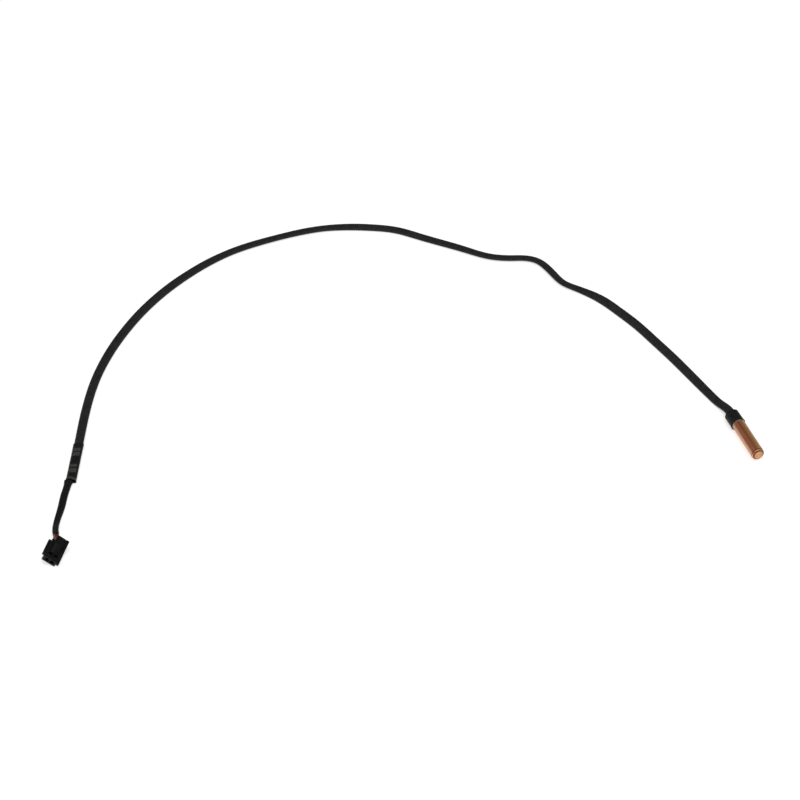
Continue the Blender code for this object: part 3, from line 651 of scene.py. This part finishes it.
def loft(name, rings, materials, along=None, closed=False, end_faces=0):
    """A body through rings of points, whose UV map holds places along it and turns round it.

    A closed one joins its last ring to its first, as a tube's wall does, and its last end_faces spans
    before the far rim take the second material.
    """
    bm = bmesh.new()
    uv = bm.loops.layers.uv.new("UVMap")
    levels = [[bm.verts.new(point) for point in ring] for ring in rings]
    count = len(levels[0])
    along = np.arange(len(rings)) * RING_SPACING_IN_UV if along is None else along
    spans = list(zip(range(len(levels) - 1), range(1, len(levels))))
    if closed:
        spans.append((len(levels) - 1, 0))
    rims = range(len(levels) // 2 - end_faces, len(levels) // 2)
    for low, high in spans:
        for j in range(count):
            k = (j + 1) % count
            face = bm.faces.new((levels[low][j], levels[low][k], levels[high][k], levels[high][j]))
            face.material_index = 1 if low in rims else 0
            start, end, turn, next_turn = along[low], along[high], j / count, (j + 1) / count
            places = [(start, turn), (start, next_turn), (end, next_turn), (end, turn)]
            for corner, place in zip(face.loops, places):
                corner[uv].uv = place
    if not closed:
        bm.faces.new(levels[0])
        bm.faces.new(levels[-1])
    return finish_mesh(name, bm, materials)


def turned(name, outline, materials):
    """A body turned about X. The outline holds (x, radius) points and ends on the axis."""
    bm = bmesh.new()
    points = [bm.verts.new((x, 0.0, radius)) for x, radius in outline]
    edges = [bm.edges.new(pair) for pair in zip(points, points[1:])]
    bmesh.ops.spin(
        bm, geom=points + edges, cent=(0, 0, 0), axis=(1, 0, 0), angle=2 * pi, steps=CAN_SIDES,
        use_merge=True,
    )
    bmesh.ops.remove_doubles(bm, verts=bm.verts, dist=MERGE_DISTANCE)
    return finish_mesh(name, bm, materials, CAN_SMOOTH_BELOW_DEG)


def arc(centre, radius, start_deg, end_deg):
    """Points on an arc in the (x, radius) plane."""
    angles = np.linspace(radians(start_deg), radians(end_deg), CORNER_STEPS + 1)
    return [(centre[0] + radius * cos(a), centre[1] + radius * sin(a)) for a in angles]


def block(name, low, high, edge=0.0):
    """A box between two corners, with its edges rounded off when edge is given."""
    bm = bmesh.new()
    size = Vector(high) - Vector(low)
    stretch = Matrix.Translation((Vector(high) + Vector(low)) / 2) @ Matrix.Diagonal((*size, 1.0))
    bmesh.ops.create_cube(bm, size=1.0, matrix=stretch)
    if edge:
        bmesh.ops.bevel(bm, geom=bm.edges[:], offset=edge, segments=EDGE_STEPS, profile=0.5, affect="EDGES")
    return finish_mesh(name, bm, [])


def prism(name, outline, width):
    """An outline of (x, z) points stretched across Y, centred on Y zero."""
    bm = bmesh.new()
    face = bm.faces.new([bm.verts.new((x, -width / 2, z)) for x, z in outline])
    swept = bmesh.ops.extrude_face_region(bm, geom=[face])
    moved = [item for item in swept["geom"] if isinstance(item, bmesh.types.BMVert)]
    bmesh.ops.translate(bm, verts=moved, vec=(0, width, 0))
    return finish_mesh(name, bm, [])


def combine(target, tool, operation):
    """Applies a Boolean and removes its tool."""
    modifier = target.modifiers.new("boolean", "BOOLEAN")
    modifier.operation = operation
    modifier.solver = "EXACT"
    modifier.object = tool
    apply_modifiers(target)
    bpy.data.objects.remove(tool)


def apply_modifiers(thing):
    """Keeps the shape that the modifiers give, without them."""
    graph = bpy.context.evaluated_depsgraph_get()
    shape = bpy.data.meshes.new_from_object(thing.evaluated_get(graph))
    thing.modifiers.clear()
    thing.data = shape


# Pieces

def sleeve_frame(height):
    """The middle of the marking sleeve at a height, with X along it from the lead to the tail."""
    turn = Matrix.Rotation(radians(SLEEVE_HEADING_DEG), 4, "Z")
    return Matrix.Translation((*SLEEVE_MIDDLE, height)) @ turn


def sleeve_section(grow):
    """The marking sleeve's outline, grown all round."""
    width = LEAD_WIDTH + 2 * (SLEEVE_WALL + grow)
    return flat_oval(width, LEAD_THICKNESS + 2 * (SLEEVE_WALL + grow), LEAD_SQUARENESS)


def sleeve_height():
    """How high the sleeve's middle lies, with room for its lip."""
    side, upper = np.array([[0.0, 1.0, 0.0]]), np.array([[0.0, 0.0, 1.0]])
    across, thick = rolled(side, upper, radians(SLEEVE_ROLL_DEG))
    return rest_height(sleeve_section(SLEEVE_LIP), across[0], thick[0])


def make_lead(material):
    """The flat lead from inside the collar to inside the marking sleeve."""
    sleeve = sleeve_frame(0.0)
    exit_height = AXIS_HEIGHT - LEAD_EXIT_DROP
    probe_end = [(LEAD_END_X, 0.0, exit_height), (COLLAR_REAR_X - LEAD_WIDTH / 2, 0.0, exit_height)]
    lying = [(x, y, 0.0) for x, y in LEAD_ROUTE]
    sleeve_end = [sleeve @ Vector((x, 0, 0)) for x in (-SLEEVE_LENGTH / 2, -FACE_GAP / 2)]
    route = smooth_route([*probe_end, *lying, *sleeve_end], LEAD_STEP)
    route[:, 2] = 0.0
    run = distances(route)
    outline = flat_oval(LEAD_WIDTH, LEAD_THICKNESS, LEAD_SQUARENESS)
    wobble = LEAD_WOBBLE_DEG * np.sin(run * LEAD_WOBBLE_RATE + 1)
    roll = blurred(np.radians(np.interp(run, *zip(*LEAD_ROLL)) + wobble), LEAD_ROLL_BLUR)
    across, thick = rolled(*directions(route)[1:], roll)
    rest = np.array([rest_height(outline, a, t) for a, t in zip(across, thick)])

    # It lies on the surface, and rises to the collar and to the marking sleeve.
    near_collar = 1 - ease((run - LEAD_DEPTH_IN_COLLAR) / COLLAR_LIFT_RUN)
    near_sleeve = ease((run - run[-1] + SLEEVE_LENGTH) / (SLEEVE_LENGTH / 2))
    route[:, 2] = rest + (exit_height - rest) * near_collar + (sleeve_height() - rest) * near_sleeve
    across, thick = rolled(*directions(route)[1:], roll)
    rings = [ring_at(*section, outline) for section in zip(route, across, thick)]
    lead = loft("lead_jacket", rings, [material], along=run)
    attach(lead, "root")
    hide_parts("lead", "lead_end")
    return lead, route, across[0], thick[0]


def sleeve_swell(x, lead_end, tail_end):
    """How far the film stands out from its plain outline: closed at the lead, with a lip at the tail."""
    fast, slow = SLEEVE_RIPPLE_RATES
    swell = SLEEVE_SWELL * hump(x - lead_end - SLEEVE_SWELL_PLACE, SLEEVE_SWELL_RUN)
    swell += SLEEVE_LIP * hump(tail_end - x, SLEEVE_LIP_RUN)
    swell += SLEEVE_RIPPLE * sin(x * fast) * sin(x * slow + 1)
    return swell - SLEEVE_CLOSING * hump(x - lead_end, SLEEVE_CLOSING_RUN)


def make_sleeve(film, cut_edge):
    """The marking sleeve: pressed over the lead, and cut at a slant with a rolled lip round the tail."""
    half = SLEEVE_LENGTH / 2
    pose = sleeve_frame(sleeve_height())
    tail_end = half + SLEEVE_TAIL_REACH
    stations = np.arange(-half, tail_end + SLEEVE_STEP / 2, SLEEVE_STEP)
    ahead = np.array(pose.to_3x3() @ Vector((1, 0, 0)))
    side = np.cross(ahead, (0.0, 0.0, 1.0))
    across, thick = rolled(side[None], np.array([[0.0, 0.0, 1.0]]), radians(SLEEVE_ROLL_DEG))
    across, thick = across[0], thick[0]

    def ring(x, grow):
        section = sleeve_section(grow)
        slant = SLEEVE_SLANT * ease((x - tail_end + SLEEVE_SLANT_RUN) / SLEEVE_SLANT_RUN)
        centre = np.array(pose @ Vector((x, 0, 0)))
        return [centre + across * u + thick * v + ahead * slant * (-u / LEAD_WIDTH) for u, v in section]

    outer = [ring(x, sleeve_swell(x, -half, tail_end)) for x in stations]
    inner = [ring(x, SLEEVE_SLACK - SLEEVE_WALL) for x in stations[::-1]]
    along = np.concatenate([stations + half, (stations + half)[::-1]])
    sleeve = loft(
        "marking_sleeve", outer + inner, [film, cut_edge], along=along, closed=True,
        end_faces=SLEEVE_CUT_EDGE_SPANS,
    )
    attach(sleeve, "root")
    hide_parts("label_sleeve")
    return sleeve


def tail_section(past_mouth):
    """The tail's outline: pressed inside the marking sleeve, flared at its mouth, and narrower after."""
    flare = 1 + TAIL_FLARE * hump(past_mouth, TAIL_FLARE_RUN)
    narrow = 1 - TAIL_NARROWING * ease((past_mouth - TAIL_NARROWING_START) / TAIL_NARROWING_RUN)
    width, thickness = TAIL_WIDTH * flare * narrow, TAIL_THICKNESS * flare
    if past_mouth < 0:
        width, thickness = TAIL_WIDTH * TAIL_PRESSED_WIDTH, TAIL_THICKNESS * TAIL_PRESSED_THICKNESS
    return flat_oval(width, thickness, waist=TAIL_WAIST, sides=TAIL_SIDES)


def make_tail(material):
    """The tail: a pinched black tube whose mouth flares just outside the marking sleeve."""
    sleeve = sleeve_frame(TAIL_DIAMETER / 2)
    sleeve_end = SLEEVE_LENGTH / 2 + SLEEVE_TAIL_REACH
    start = [sleeve @ Vector((x, TAIL_SIDE_OFFSET, 0)) for x in (FACE_GAP / 2, sleeve_end)]
    route = smooth_route([*start, *TAIL_ROUTE], TAIL_STEP)
    run = distances(route)
    mouth = sleeve_end - FACE_GAP / 2 + TAIL_MOUTH_DEPTH
    turns = (SLEEVE_ROLL_DEG, 0.0, TAIL_ROLL_DEG, TAIL_END_ROLL_DEG)
    roll = np.radians(np.interp(run, (0.0, mouth, TAIL_ROLL_PLACE, run[-1]), turns))
    across, thick = rolled(*directions(route)[1:], roll)
    outlines = [tail_section(place - mouth) for place in run]

    # It leaves the marking sleeve at the sleeve's height, then lies down, and rises to the wires.
    level, top = TAIL_DIAMETER / 2, TAIL_ROUTE[-1][2]
    for i, (outline, a, t) in enumerate(zip(outlines, across, thick)):
        rest = rest_height(outline, a, t)
        inside = 1 - ease((run[i] - mouth) / TAIL_LIFT_RUN)
        raised = np.clip((route[i, 2] - level) / (top - level), 0.0, 1.0)
        lying = rest + (route[i, 2] - rest) * raised
        route[i, 2] = lying * (1 - inside) + max(rest, sleeve_height()) * inside
    across, thick = rolled(*directions(route)[1:], roll)
    rings = [ring_at(*section) for section in zip(route, across, thick, outlines)]
    tail = loft("tail_cover", rings, [material], along=run)
    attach(tail, "root")
    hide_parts("tail_tube", "tail_end")
    return tail, route


def make_can(material):
    """The drawn can, with its rounded closed end."""
    outer = CAN_DIAMETER / 2
    inner = outer - CAN_WALL
    floor_x = TIP_X - CAN_WALL
    inner_corner = CAN_CORNER - CAN_WALL
    outline = [(TIP_X, 0.0), (TIP_X, outer - CAN_CORNER - CAN_FACE_INSET)]
    outline += arc((TIP_X - CAN_CORNER, outer - CAN_CORNER), CAN_CORNER, 0, 90)
    outline += [(MOUTH_X, outer), (MOUTH_X, inner)]
    outline += arc((floor_x - inner_corner, inner - inner_corner), inner_corner, 90, 0)
    outline += [(floor_x, 0.0)]
    can = turned("drawn_can", outline, [material])
    can.data.transform(Matrix.Translation((0.0, 0.0, AXIS_HEIGHT)))
    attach(can, "root")
    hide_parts("copper_can")


def collar_outlines(axis_side, axis_up, across, thick):
    """The collar's round outline, with a radius of 1, and its oval one round the lead, point for point."""
    width, thickness = LEAD_WIDTH + 2 * FIT_GAP, LEAD_THICKNESS + 2 * FIT_GAP
    neck = flat_oval(width, thickness, LEAD_SQUARENESS, sides=COLLAR_SIDES)
    neck_points = np.array([across * x + thick * y - axis_up * LEAD_EXIT_DROP for x, y in neck])
    bearing = np.arctan2(neck_points @ axis_up, neck_points @ axis_side)
    return np.outer(np.cos(bearing), axis_side) + np.outer(np.sin(bearing), axis_up), neck_points


def make_collar(material, across, thick):
    """The shrunk collar: round over the can, a little off its line, and an oval round the lead."""
    axis_side, axis_up = np.array([0.0, -1.0, 0.0]), np.array([0.0, 0.0, 1.0])
    round_points, neck_points = collar_outlines(axis_side, axis_up, across, thick)
    rim, rear = COLLAR_RIM_X, COLLAR_SHOWN_REAR_X
    shoulder = rear + COLLAR_SHOULDER

    def ring(x, radius, closed=0.0, drift=1.0):
        shape = round_points * radius * (1 - closed) + neck_points * closed
        aside = COLLAR_DRIFT * drift * (0.5 + 0.5 * (rim - x) / (rim - rear)) * (1 - closed)
        points = shape + axis_side * aside + np.array([x, 0.0, AXIS_HEIGHT])
        points[:, 2] = np.maximum(points[:, 2], 0.0)
        return list(points)

    end_radius, bore = COLLAR_DIAMETER / 2 - COLLAR_SHRINK, CAN_DIAMETER / 2
    face_radius = end_radius - COLLAR_SHOULDER
    outer = []
    for x in np.linspace(rim, shoulder, COLLAR_STEPS):
        ripple = COLLAR_RIPPLE * sin(x * COLLAR_RIPPLE_RATE)
        outer.append(ring(x, end_radius + COLLAR_FLARE * hump(rim - x, COLLAR_FLARE_RUN) + ripple))
    for turn in np.linspace(0.1, 1.0, SHOULDER_STEPS) * pi / 2:
        radius = end_radius - COLLAR_SHOULDER * (1 - cos(turn))
        outer.append(ring(shoulder - COLLAR_SHOULDER * sin(turn), radius))
    end_face = [ring(rear - COLLAR_REAR_BULGE, face_radius, part) for part in (0.4, 0.8, 0.95)]
    neck_rings = [ring(rear + depth, end_radius, 1.0) for depth in (COLLAR_TUCK, COLLAR_NECK_LENGTH)]
    grip = [ring(MOUTH_X, bore, drift=0.0), ring(rim, bore + COLLAR_RIM_SLACK, drift=0.0)]
    collar = loft("shrunk_collar", [*outer, *end_face, *neck_rings, *grip], [material], closed=True)
    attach(collar, "root")
    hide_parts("collar")


def connector_pose():
    """Where the connector lies: held by its wires, tipped over on one lower edge."""
    turn = Matrix.Rotation(radians(HOUSING_HEADING_DEG), 4, "Z") @ Matrix.Rotation(-HOUSING_ROLL, 4, "X")
    return Matrix.Translation((*HOUSING_MIDDLE, HOUSING_AXIS_HEIGHT)) @ turn


def add_latch(housing, half):
    """Joins the latch lever to the housing: a root, a rising arm, and a wide pad."""
    root_front = half.x - LATCH_SETBACK
    root_rear = root_front - LATCH_ROOT_LENGTH
    sunk, level, top = half.z - HOUSING_EDGE, half.z + LATCH_ROOT_RISE, half.z + LATCH_PAD_RISE
    low = top - LATCH_THICKNESS
    pad_rear = -half.x - LATCH_OVERHANG
    pad_front = pad_rear + LATCH_PAD_LENGTH
    arm_top, arm_low, arm_rear = top - LATCH_PAD_STEP, low + LATCH_PAD_STEP, pad_front - LATCH_THICKNESS
    arm = [
        (root_front, sunk), (root_front, level), (pad_front, arm_top), (arm_rear, arm_top),
        (arm_rear, arm_low), (pad_front, arm_low), (root_rear, level), (root_rear, sunk),
    ]
    wide = LATCH_PAD_WIDTH / 2
    combine(housing, prism("arm", arm, LATCH_WIDTH), "UNION")
    combine(housing, block("pad", (pad_rear, -wide, low), (pad_front, wide, top)), "UNION")


def add_guard(housing, half):
    """Joins the rib beside the latch pad to the housing."""
    inner, outer = LATCH_PAD_WIDTH / 2 - HOUSING_EDGE, half.y + GUARD_STEP_OUT
    top, rear = half.z + LATCH_PAD_RISE, -half.x - LATCH_OVERHANG
    front = rear + GUARD_LENGTH
    outline = [
        (front, 0.0), (front, top - GUARD_CORNER), (front - GUARD_CORNER, top), (rear, top),
        (rear, half.z), (-half.x + GUARD_CORNER, 0.0),
    ]
    guard = prism("guard", outline, outer - inner)
    guard.data.transform(Matrix.Translation((0.0, (inner + outer) / 2, 0.0)))
    combine(housing, guard, "UNION")
    seam, width = LATCH_PAD_WIDTH / 2, GUARD_GROOVE / 2
    low = (rear - HOUSING_EDGE, seam - width, top - GUARD_GROOVE)
    high = (front, seam + width, top + HOUSING_EDGE)
    combine(housing, block("groove", low, high), "DIFFERENCE")


def cut_ways(housing, half):
    """Cuts the sloping front edge, the two ways and the windows over them."""
    past = HOUSING_EDGE
    front, top = half.x + past, half.z + past
    leg = HOUSING_FRONT_CHAMFER + 2 * past
    corner = [(front - leg, top), (front, top), (front, top - leg)]
    combine(housing, prism("chamfer", corner, HOUSING_WIDTH + 2 * past), "DIFFERENCE")
    way, window = WAY_SIZE / 2, WINDOW_WIDTH / 2
    window_front = half.x - WINDOW_SETBACK
    for y in (-WAY_PITCH / 2, WAY_PITCH / 2):
        low, high = (-HOUSING_LENGTH, y - way, -WAY_DROP - way), (HOUSING_LENGTH, y + way, -WAY_DROP + way)
        combine(housing, block("way", low, high), "DIFFERENCE")
        low, high = (window_front - WINDOW_LENGTH, y - window, -WAY_DROP), (window_front, y + window, top)
        combine(housing, block("window", low, high), "DIFFERENCE")


def make_housing(material, pose):
    """The moulded housing, with softened edges."""
    half = Vector((HOUSING_LENGTH, HOUSING_WIDTH, HOUSING_HEIGHT)) / 2
    rear, front = -half.x + HOUSING_EDGE, half.x - HOUSING_EDGE
    low, high = -RAIL_HEIGHT / 2, RAIL_HEIGHT / 2
    root, out = half.y - 2 * HOUSING_EDGE, half.y + RAIL_DEPTH
    housing = block("plug_housing", -half, half, HOUSING_EDGE)
    combine(housing, block("long_rail", (rear, root, low), (front, out, high)), "UNION")
    short_high = (half.x - RAIL_SHORT_SETBACK, -root, high)
    combine(housing, block("short_rail", (rear, -out, low), short_high), "UNION")
    add_latch(housing, half)
    add_guard(housing, half)
    cut_ways(housing, half)
    soften = housing.modifiers.new("edges", "BEVEL")
    soften.width = HOUSING_SOFT_EDGE
    soften.segments = EDGE_STEPS
    soften.limit_method = "ANGLE"
    soften.angle_limit = radians(HOUSING_SHARP_ABOVE_DEG)
    apply_modifiers(housing)
    housing.data.shade_smooth()
    housing.data.set_sharp_from_angle(angle=radians(HOUSING_SHARP_ABOVE_DEG))
    housing.data.materials.clear()
    housing.data.materials.append(material)
    housing.data.transform(pose)
    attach(housing, "root")
    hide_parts("connector_housing")
    return housing


def make_wire(name, node, slot, material, side, bow, tail_route, pose):
    """One insulated wire, from the tail into its crimp, on side -1 or 1 of the connector.

    It bows out, or in where the bow is negative, before it enters the housing.
    """
    tail_end = tail_route[-1]
    ahead = tail_route[-1] - tail_route[-3]
    ahead /= np.linalg.norm(ahead)
    across = np.cross(ahead, (0.0, 0.0, 1.0))
    start = tail_end - ahead * WIRE_DEPTH_IN_TAIL - across * side * TAIL_WIRE_PITCH / 2
    rear, aside = -HOUSING_LENGTH / 2, WAY_PITCH / 2
    along = [
        (rear - WIRE_DIAMETER, aside + bow), (rear, aside + WIRE_ENTRY_SHIFT), (CRIMPED_WIRE_END_X, aside),
    ]
    way = [np.array(pose @ Vector((x, side * y, -WAY_DROP))) for x, y in along]
    route = smooth_route([start, start + ahead * WIRE_DIAMETER, *way], WIRE_DIAMETER / 5)
    outline = flat_oval(WIRE_DIAMETER, WIRE_DIAMETER, sides=WIRE_SIDES)
    rings = [ring_at(*section, outline) for section in zip(route, *directions(route)[1:])]
    wire = loft(name, rings, [material], along=distances(route))
    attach(wire, "root")
    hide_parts(node)
    return wire


def dress(material, *names):
    """Gives CAD nodes a finished material."""
    for name in names:
        nodes[name].data.materials.clear()
        nodes[name].data.materials.append(material)


def dress_inner_pieces(brown, red):
    """Finishes the pieces that sit inside the can and the connector."""
    bronze = metal_material("contact_bronze", (0.085, 0.040, 0.024), (0.19, 0.10, 0.055), 0.42)
    dress(bronze, "contact_a", "contact_b")
    bare_copper = metal_material("bare_core", (0.60, 0.30, 0.17), (0.85, 0.52, 0.36), 0.35)
    dress(bare_copper, "contact_core_a", "contact_core_b", "stripped_core_a", "stripped_core_b")
    tinned = metal_material("tinned_metal", (0.50, 0.50, 0.48), (0.78, 0.77, 0.74), 0.36)
    dress(tinned, "splice_ferrule_a", "splice_ferrule_b", "bead_leg_a", "bead_leg_b")
    dress(brown, "probe_wire_a")
    dress(red, "probe_wire_b")
    dress(film_material(), "leg_sleeve_a", "leg_sleeve_b")
    dress(bead_material(), "thermistor_bead")
    dress(resin_material(), "potting")


def make_object():
    """All that shows of the sensor, and its cords."""
    lead_black = black_plastic("lead_jacket_black", (0.029, 0.0265, 0.0265), 0.60, 0.13)
    collar_black = black_plastic("collar_black", (0.0120, 0.0125, 0.0130), 0.55, 0.16, along_metres=False)
    tail_black = black_plastic("tail_black", (0.0110, 0.0100, 0.0105), 0.50, 0.14)
    moulded_black = black_plastic(
        "moulded_black", (0.0074, 0.0074, 0.0078), 0.40, 0.12, grain=0.00001, tint=0.25, along_metres=False
    )
    cut_edge = black_plastic("cut_edge", (0.060, 0.052, 0.050), 0.5, 0.3, along_metres=False)
    brown = insulation_material("brown_insulation", (0.24, 0.085, 0.070))
    red = insulation_material("red_insulation", (0.15, 0.014, 0.030))

    lead, lead_route, across, thick = make_lead(lead_black)
    sleeve = make_sleeve(sleeve_material(), cut_edge)
    tail, tail_route = make_tail(tail_black)
    make_can(copper_material())
    make_collar(collar_black, across, thick)
    pose = connector_pose()
    housing = make_housing(moulded_black, pose)
    ways = (tail_route, pose)
    wires = [
        make_wire("wire_brown_cover", "wire_brown", "insulation_brown", brown, -1, BROWN_WIRE_BOW, *ways),
        make_wire("wire_red_cover", "wire_red", "insulation_red", red, 1, RED_WIRE_BOW, *ways),
    ]

    dress_inner_pieces(brown, red)


# Studio

def add_area_light(name, place, target, size, power):
    """A soft square light that faces a point."""
    lamp = bpy.data.lights.new(name, "AREA")
    lamp.shape = "SQUARE"
    lamp.size = size
    lamp.energy = power
    made = bpy.data.objects.new(name, lamp)
    made.location = place
    made.rotation_euler = (Vector(target) - Vector(place)).to_track_quat("-Z", "Y").to_euler()
    bpy.context.scene.collection.objects.link(made)


def add_camera():
    """The photograph's camera, which looks down on the surface."""
    azimuth, elevation = radians(CAMERA_AZIMUTH_DEG), radians(CAMERA_ELEVATION_DEG)
    back = Vector((sin(azimuth) * cos(elevation), -cos(azimuth) * cos(elevation), sin(elevation)))
    lens = bpy.data.cameras.new("camera")
    lens.lens = CAMERA_LENS_MM
    lens.sensor_width = CAMERA_SENSOR_MM
    lens.clip_start = CAMERA_CLIP_START
    lens.clip_end = CAMERA_CLIP_END
    camera = bpy.data.objects.new("camera", lens)
    camera.location = Vector(CAMERA_TARGET) + back * CAMERA_DISTANCE
    camera.rotation_euler = (-back).to_track_quat("-Z", "Y").to_euler()
    bpy.context.scene.collection.objects.link(camera)
    bpy.context.scene.camera = camera


def make_studio():
    """A pale floor, soft light and the camera."""
    scene = bpy.context.scene
    bm = bmesh.new()
    bmesh.ops.create_grid(bm, x_segments=1, y_segments=1, size=FLOOR_SIZE / 2)
    floor = finish_mesh("floor", bm, [floor_material()])
    floor.location = (*CAMERA_TARGET[:2], 0.0)

    world = bpy.data.worlds.new("studio")
    world.use_nodes = True
    sky = world.node_tree.nodes["Background"]
    sky.inputs["Color"].default_value = (1.0, 1.0, 1.0, 1.0)
    sky.inputs["Strength"].default_value = WORLD_STRENGTH
    scene.world = world
    add_area_light("top_light", TOP_LIGHT_PLACE, CAMERA_TARGET, TOP_LIGHT_SIZE, TOP_LIGHT_POWER)
    add_camera()
    scene.view_settings.view_transform = "Standard"


make_studio()
make_object()
